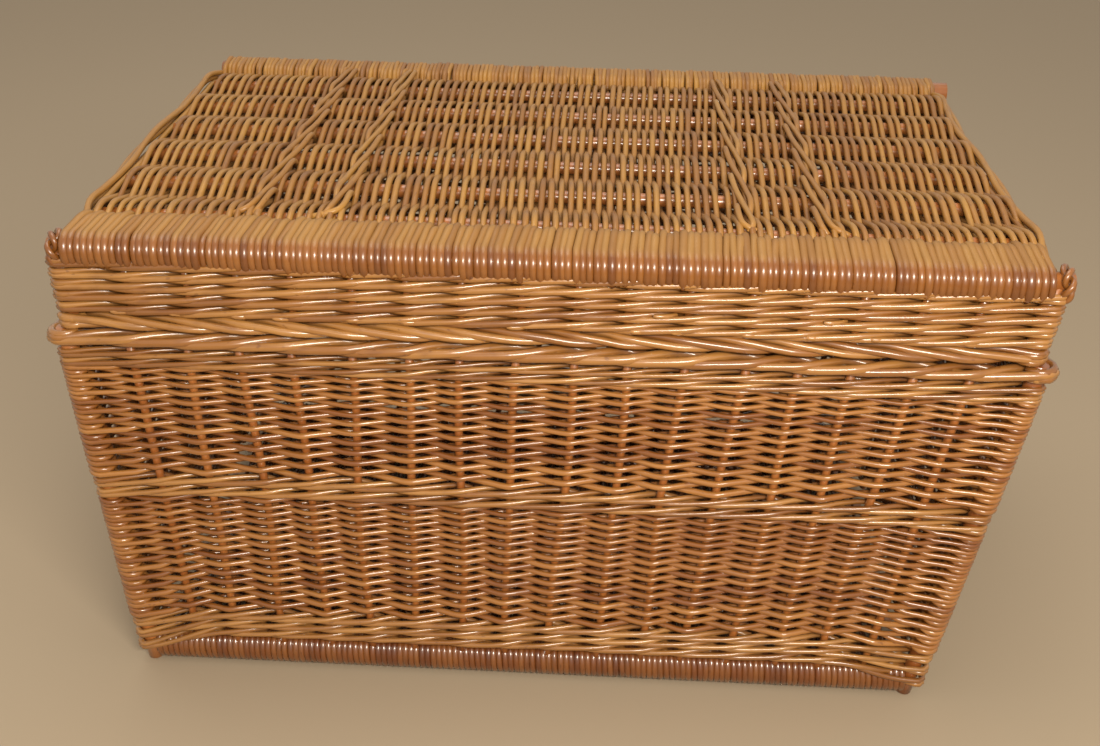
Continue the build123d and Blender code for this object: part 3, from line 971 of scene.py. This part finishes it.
def lid_ends():
    """Rods along the left and the right end of the top, and stouter ones that fill the slope down to
    the top round of the end wall."""
    rods = []
    length = LID_REAR_Y - LID_FRONT_Y - 16
    for sign, edge in ((-1, lambda y: lid_left(y) - 6.0), (1, lid_right)):
        for strand, (out, up, radius) in enumerate(END_RODS):
            knots = []
            for j in range(END_STEPS + 1):
                y = LID_FRONT_Y + 6 + length * j / END_STEPS
                wave = 1.5 * math.sin(j * 1.3 + strand * 2.1)
                tucked = 7.0 if j in (0, END_STEPS) else 0.0
                knots.append([edge(y) + sign * (out + wave - tucked), y,
                              panel_top(y) + up - tucked + 1.2 * math.cos(j * 1.1 + strand)])
            rods.append(rod(smooth_line(np.array(knots), 4), radius))
        wall_x = LID.place(POSTS[1 if sign > 0 else 3] + SHORT_STAKES / 2, LID_TOP)[0]
        for strand, share in enumerate(FILLER_SHARES):
            knots = []
            for j in range(END_STEPS + 1):
                y = LID_FRONT_Y + 8 + length * j / END_STEPS
                inner_x, inner_z = edge(y) + sign * 3.0, panel_top(y) - 13.0
                wave = 0.8 * math.sin(j * 1.7 + strand * 2.4)
                knots.append([inner_x + (wall_x - inner_x) * share + wave, y,
                              inner_z + (LID_TOP + 1.5 - inner_z) * share])
            rods.append(rod(smooth_line(np.array(knots), 4), FILLER_R))
    willow_piece("willow_lid_ends", rods, LID_WILLOW, "lid", ["lid_end_borders"], 90,
                 sides=8)


KNOT_X, KNOT_REACH, KNOT_TWIST = 372.0, 10.2, 2.7


def lid_knots():
    """Two rods twisted together and turned round each end of the front stick."""
    rods = []
    for sign in (-1, 1):
        for strand in (0, 1):
            t = np.linspace(0, 1, 44)
            a = math.radians(235) - math.radians(190) * t
            twist = TURN * 1.6 * t + strand * math.pi
            reach = KNOT_REACH + KNOT_TWIST * np.cos(twist)
            x = LID_LEAN + sign * (KNOT_X + 2.9 * np.sin(twist))
            y, z = FRONT_STICK_Y - 1 + reach * np.cos(a), FRONT_STICK_Z + reach * np.sin(a)
            rods.append(rod(np.stack([x, y, z], 1), 2.3, cut=0.5))
    willow_piece("willow_lid_corner_knots", rods, LID_EDGE_WILLOW, "lid", ["lid_corner_knots"],
                 95, sides=8)


def lid_top():
    lid_sticks()
    lid_square_work()
    lid_cross_rows()
    lid_ends()
    lid_knots()


# ------------------------------------------------------------------ base
BASE_Z, BASE_INNER_Z = 16.0, 17.0
BASE_Y = high("base_outer_sticks").y - 11.0
BASE_CORE, BASE_WRAP, BASE_ROD_R = 11.0, 3.1, 1.9
BASE_X = (low("base_outer_sticks").x + high("base_outer_sticks").x) / 2
BASE_STICKS = [64.0 * (i - 2) for i in range(5)]
BASE_PASSES, BASE_LENGTH = 150, 652


def base_depth(places):
    """The wraps round the outer sticks lie open, and the rods between them deeper."""
    return 0.35 + (np.abs(places[:, 1]) - BASE_Y) / 25.0


def base_pass(i):
    """One rod of the base, from front to back over and under the sticks."""
    x = BASE_X - BASE_LENGTH / 2 + BASE_LENGTH * (i + 0.5) / BASE_PASSES
    knots = [[x, -BASE_Y + 9, BASE_INNER_Z + (9 if i % 2 else -9)]]
    for j, y in enumerate(BASE_STICKS):
        side = 1 if (i + j) % 2 == 0 else -1
        knots.append([x, y, BASE_INNER_Z + side * (INNER_R + BASE_ROD_R)])
    knots.append([x, BASE_Y - 9, BASE_INNER_Z + (-9 if (i + 5) % 2 else 9)])
    return rod(smooth_line(np.array(knots), 5), BASE_ROD_R)


def base():
    chance = np.random.default_rng(110)
    sticks = [level_stick(s * BASE_Y, BASE_Z, BASE_X - 333, BASE_X + 333, BASE_CORE) for s in (-1, 1)]
    willow_piece("willow_base_outer_sticks", sticks, STICK_WILLOW, "basket", ["base_outer_sticks"],
                 111, sides=16)
    sticks = [level_stick(y, BASE_INNER_Z, BASE_X - 334, BASE_X + 334, INNER_R) for y in BASE_STICKS]
    willow_piece("willow_base_inner_sticks", sticks, STICK_WILLOW, "basket", ["base_inner_sticks"],
                 112, sides=8)
    rods = [base_pass(i) for i in range(BASE_PASSES)]
    for s in (-1, 1):
        rods += wrapped_stick(s * BASE_Y, BASE_Z, BASE_X - 331, BASE_X + 331, 10.0, BASE_WRAP, 4.9,
                              0.0, chance)
    willow_piece("willow_base_weave", rods, FOOT_WILLOW, "basket", ["base_weave"], 113,
                 depth=base_depth)


# ------------------------------------------------------------------ hinges
HINGE_Y, HINGE_REACH, HINGE_ROD_R, HINGE_TWIST = 237.0, 10.3, 1.3, 1.1


def hinges():
    """Loops of two twisted rods round the rear border of the body, with their tails up the lid."""
    rods = []
    for x in (-215.0, 0.0, 215.0):
        for strand in (0, 1):
            a = np.linspace(-0.25 * TURN, 0.9 * TURN, 28)
            twist = a * 2.2 + strand * math.pi
            r = HINGE_REACH + 0.9 * np.cos(twist)
            loop = np.stack([x + HINGE_TWIST * np.sin(twist), HINGE_Y + r * np.cos(a),
                             BORDER_Z + r * np.sin(a)], 1)
            h = np.linspace(0, 1, 14)
            twist = h * 9 + strand * math.pi
            tail = np.stack([x + HINGE_TWIST * np.sin(twist),
                             HINGE_Y + HINGE_REACH + 0.9 * np.cos(twist), BORDER_Z + h * 62], 1)
            rods += [rod(loop, HINGE_ROD_R), rod(tail, HINGE_ROD_R)]
    willow_piece("willow_hinge_loops", rods, LID_EDGE_WILLOW, "lid", ["hinge_loops"], 120)


# ------------------------------------------------------------------ studio
CAMERA_PLACE = (0.0435, -1.1522, 0.8015)
CAMERA_YAW, CAMERA_PITCH, CAMERA_ROLL = (math.radians(angle) for angle in (-2.50, 27.80, 1.10))
CAMERA_LENS, CAMERA_SENSOR = 44.345454, 36.0


def studio_camera():
    cam = bpy.data.objects.new("camera", bpy.data.cameras.new("camera"))
    bpy.context.scene.collection.objects.link(cam)
    level = math.cos(CAMERA_PITCH)
    forward = Vector((math.sin(CAMERA_YAW) * level, math.cos(CAMERA_YAW) * level,
                      -math.sin(CAMERA_PITCH)))
    right = Vector((math.cos(CAMERA_YAW), -math.sin(CAMERA_YAW), 0))
    up = right.cross(forward)
    rolled_right = math.cos(CAMERA_ROLL) * right + math.sin(CAMERA_ROLL) * up
    rolled_up = -math.sin(CAMERA_ROLL) * right + math.cos(CAMERA_ROLL) * up
    turn = Matrix((rolled_right, rolled_up, -forward)).transposed().to_4x4()
    cam.matrix_world = Matrix.Translation(CAMERA_PLACE) @ turn
    cam.data.sensor_width = CAMERA_SENSOR
    cam.data.lens = CAMERA_LENS
    cam.data.clip_start = 0.02
    bpy.context.scene.camera = cam


def softbox(name, place, target, size, power, colour):
    light = bpy.data.lights.new(name, "AREA")
    light.shape = "RECTANGLE"
    light.size, light.size_y = size
    light.energy = power
    light.color = colour
    lamp = bpy.data.objects.new(name, light)
    bpy.context.scene.collection.objects.link(lamp)
    way = Vector(target) - Vector(place)
    aim = way.to_track_quat("-Z", "Y").to_matrix().to_4x4()
    lamp.matrix_world = Matrix.Translation(place) @ aim


def studio_floor():
    work = bmesh.new()
    bmesh.ops.create_grid(work, x_segments=1, y_segments=1, size=6.0)
    mesh = bpy.data.meshes.new("studio_floor")
    work.to_mesh(mesh)
    work.free()
    floor = bpy.data.objects.new("studio_floor", mesh)
    bpy.context.scene.collection.objects.link(floor)
    paper = bpy.data.materials.new("studio_paper")
    paper.use_nodes = True
    shader = paper.node_tree.nodes["Principled BSDF"]
    shader.inputs["Base Color"].default_value = (0.36, 0.285, 0.195, 1)
    shader.inputs["Roughness"].default_value = 0.9
    mesh.materials.append(paper)


def studio():
    studio_camera()
    softbox("key_softbox", (0.3, -1.35, 1.02), (0, 0, 0.25), (0.75, 0.16), 25, (1.0, 0.92, 0.8))
    softbox("top_softbox", (-0.3, 0.3, 2.4), (0, 0, 0.2), (1.6, 1.6), 21, (1.0, 0.94, 0.86))
    studio_floor()
    world = bpy.data.worlds.new("studio_world")
    bpy.context.scene.world = world
    world.use_nodes = True
    back = world.node_tree.nodes["Background"]
    back.inputs["Color"].default_value = (0.92, 0.85, 0.76, 1)
    back.inputs["Strength"].default_value = 0.68
    bpy.context.scene.view_settings.view_transform = "Standard"


studio()
body_walls()
lid_walls()
lid_top()
base()
hinges()
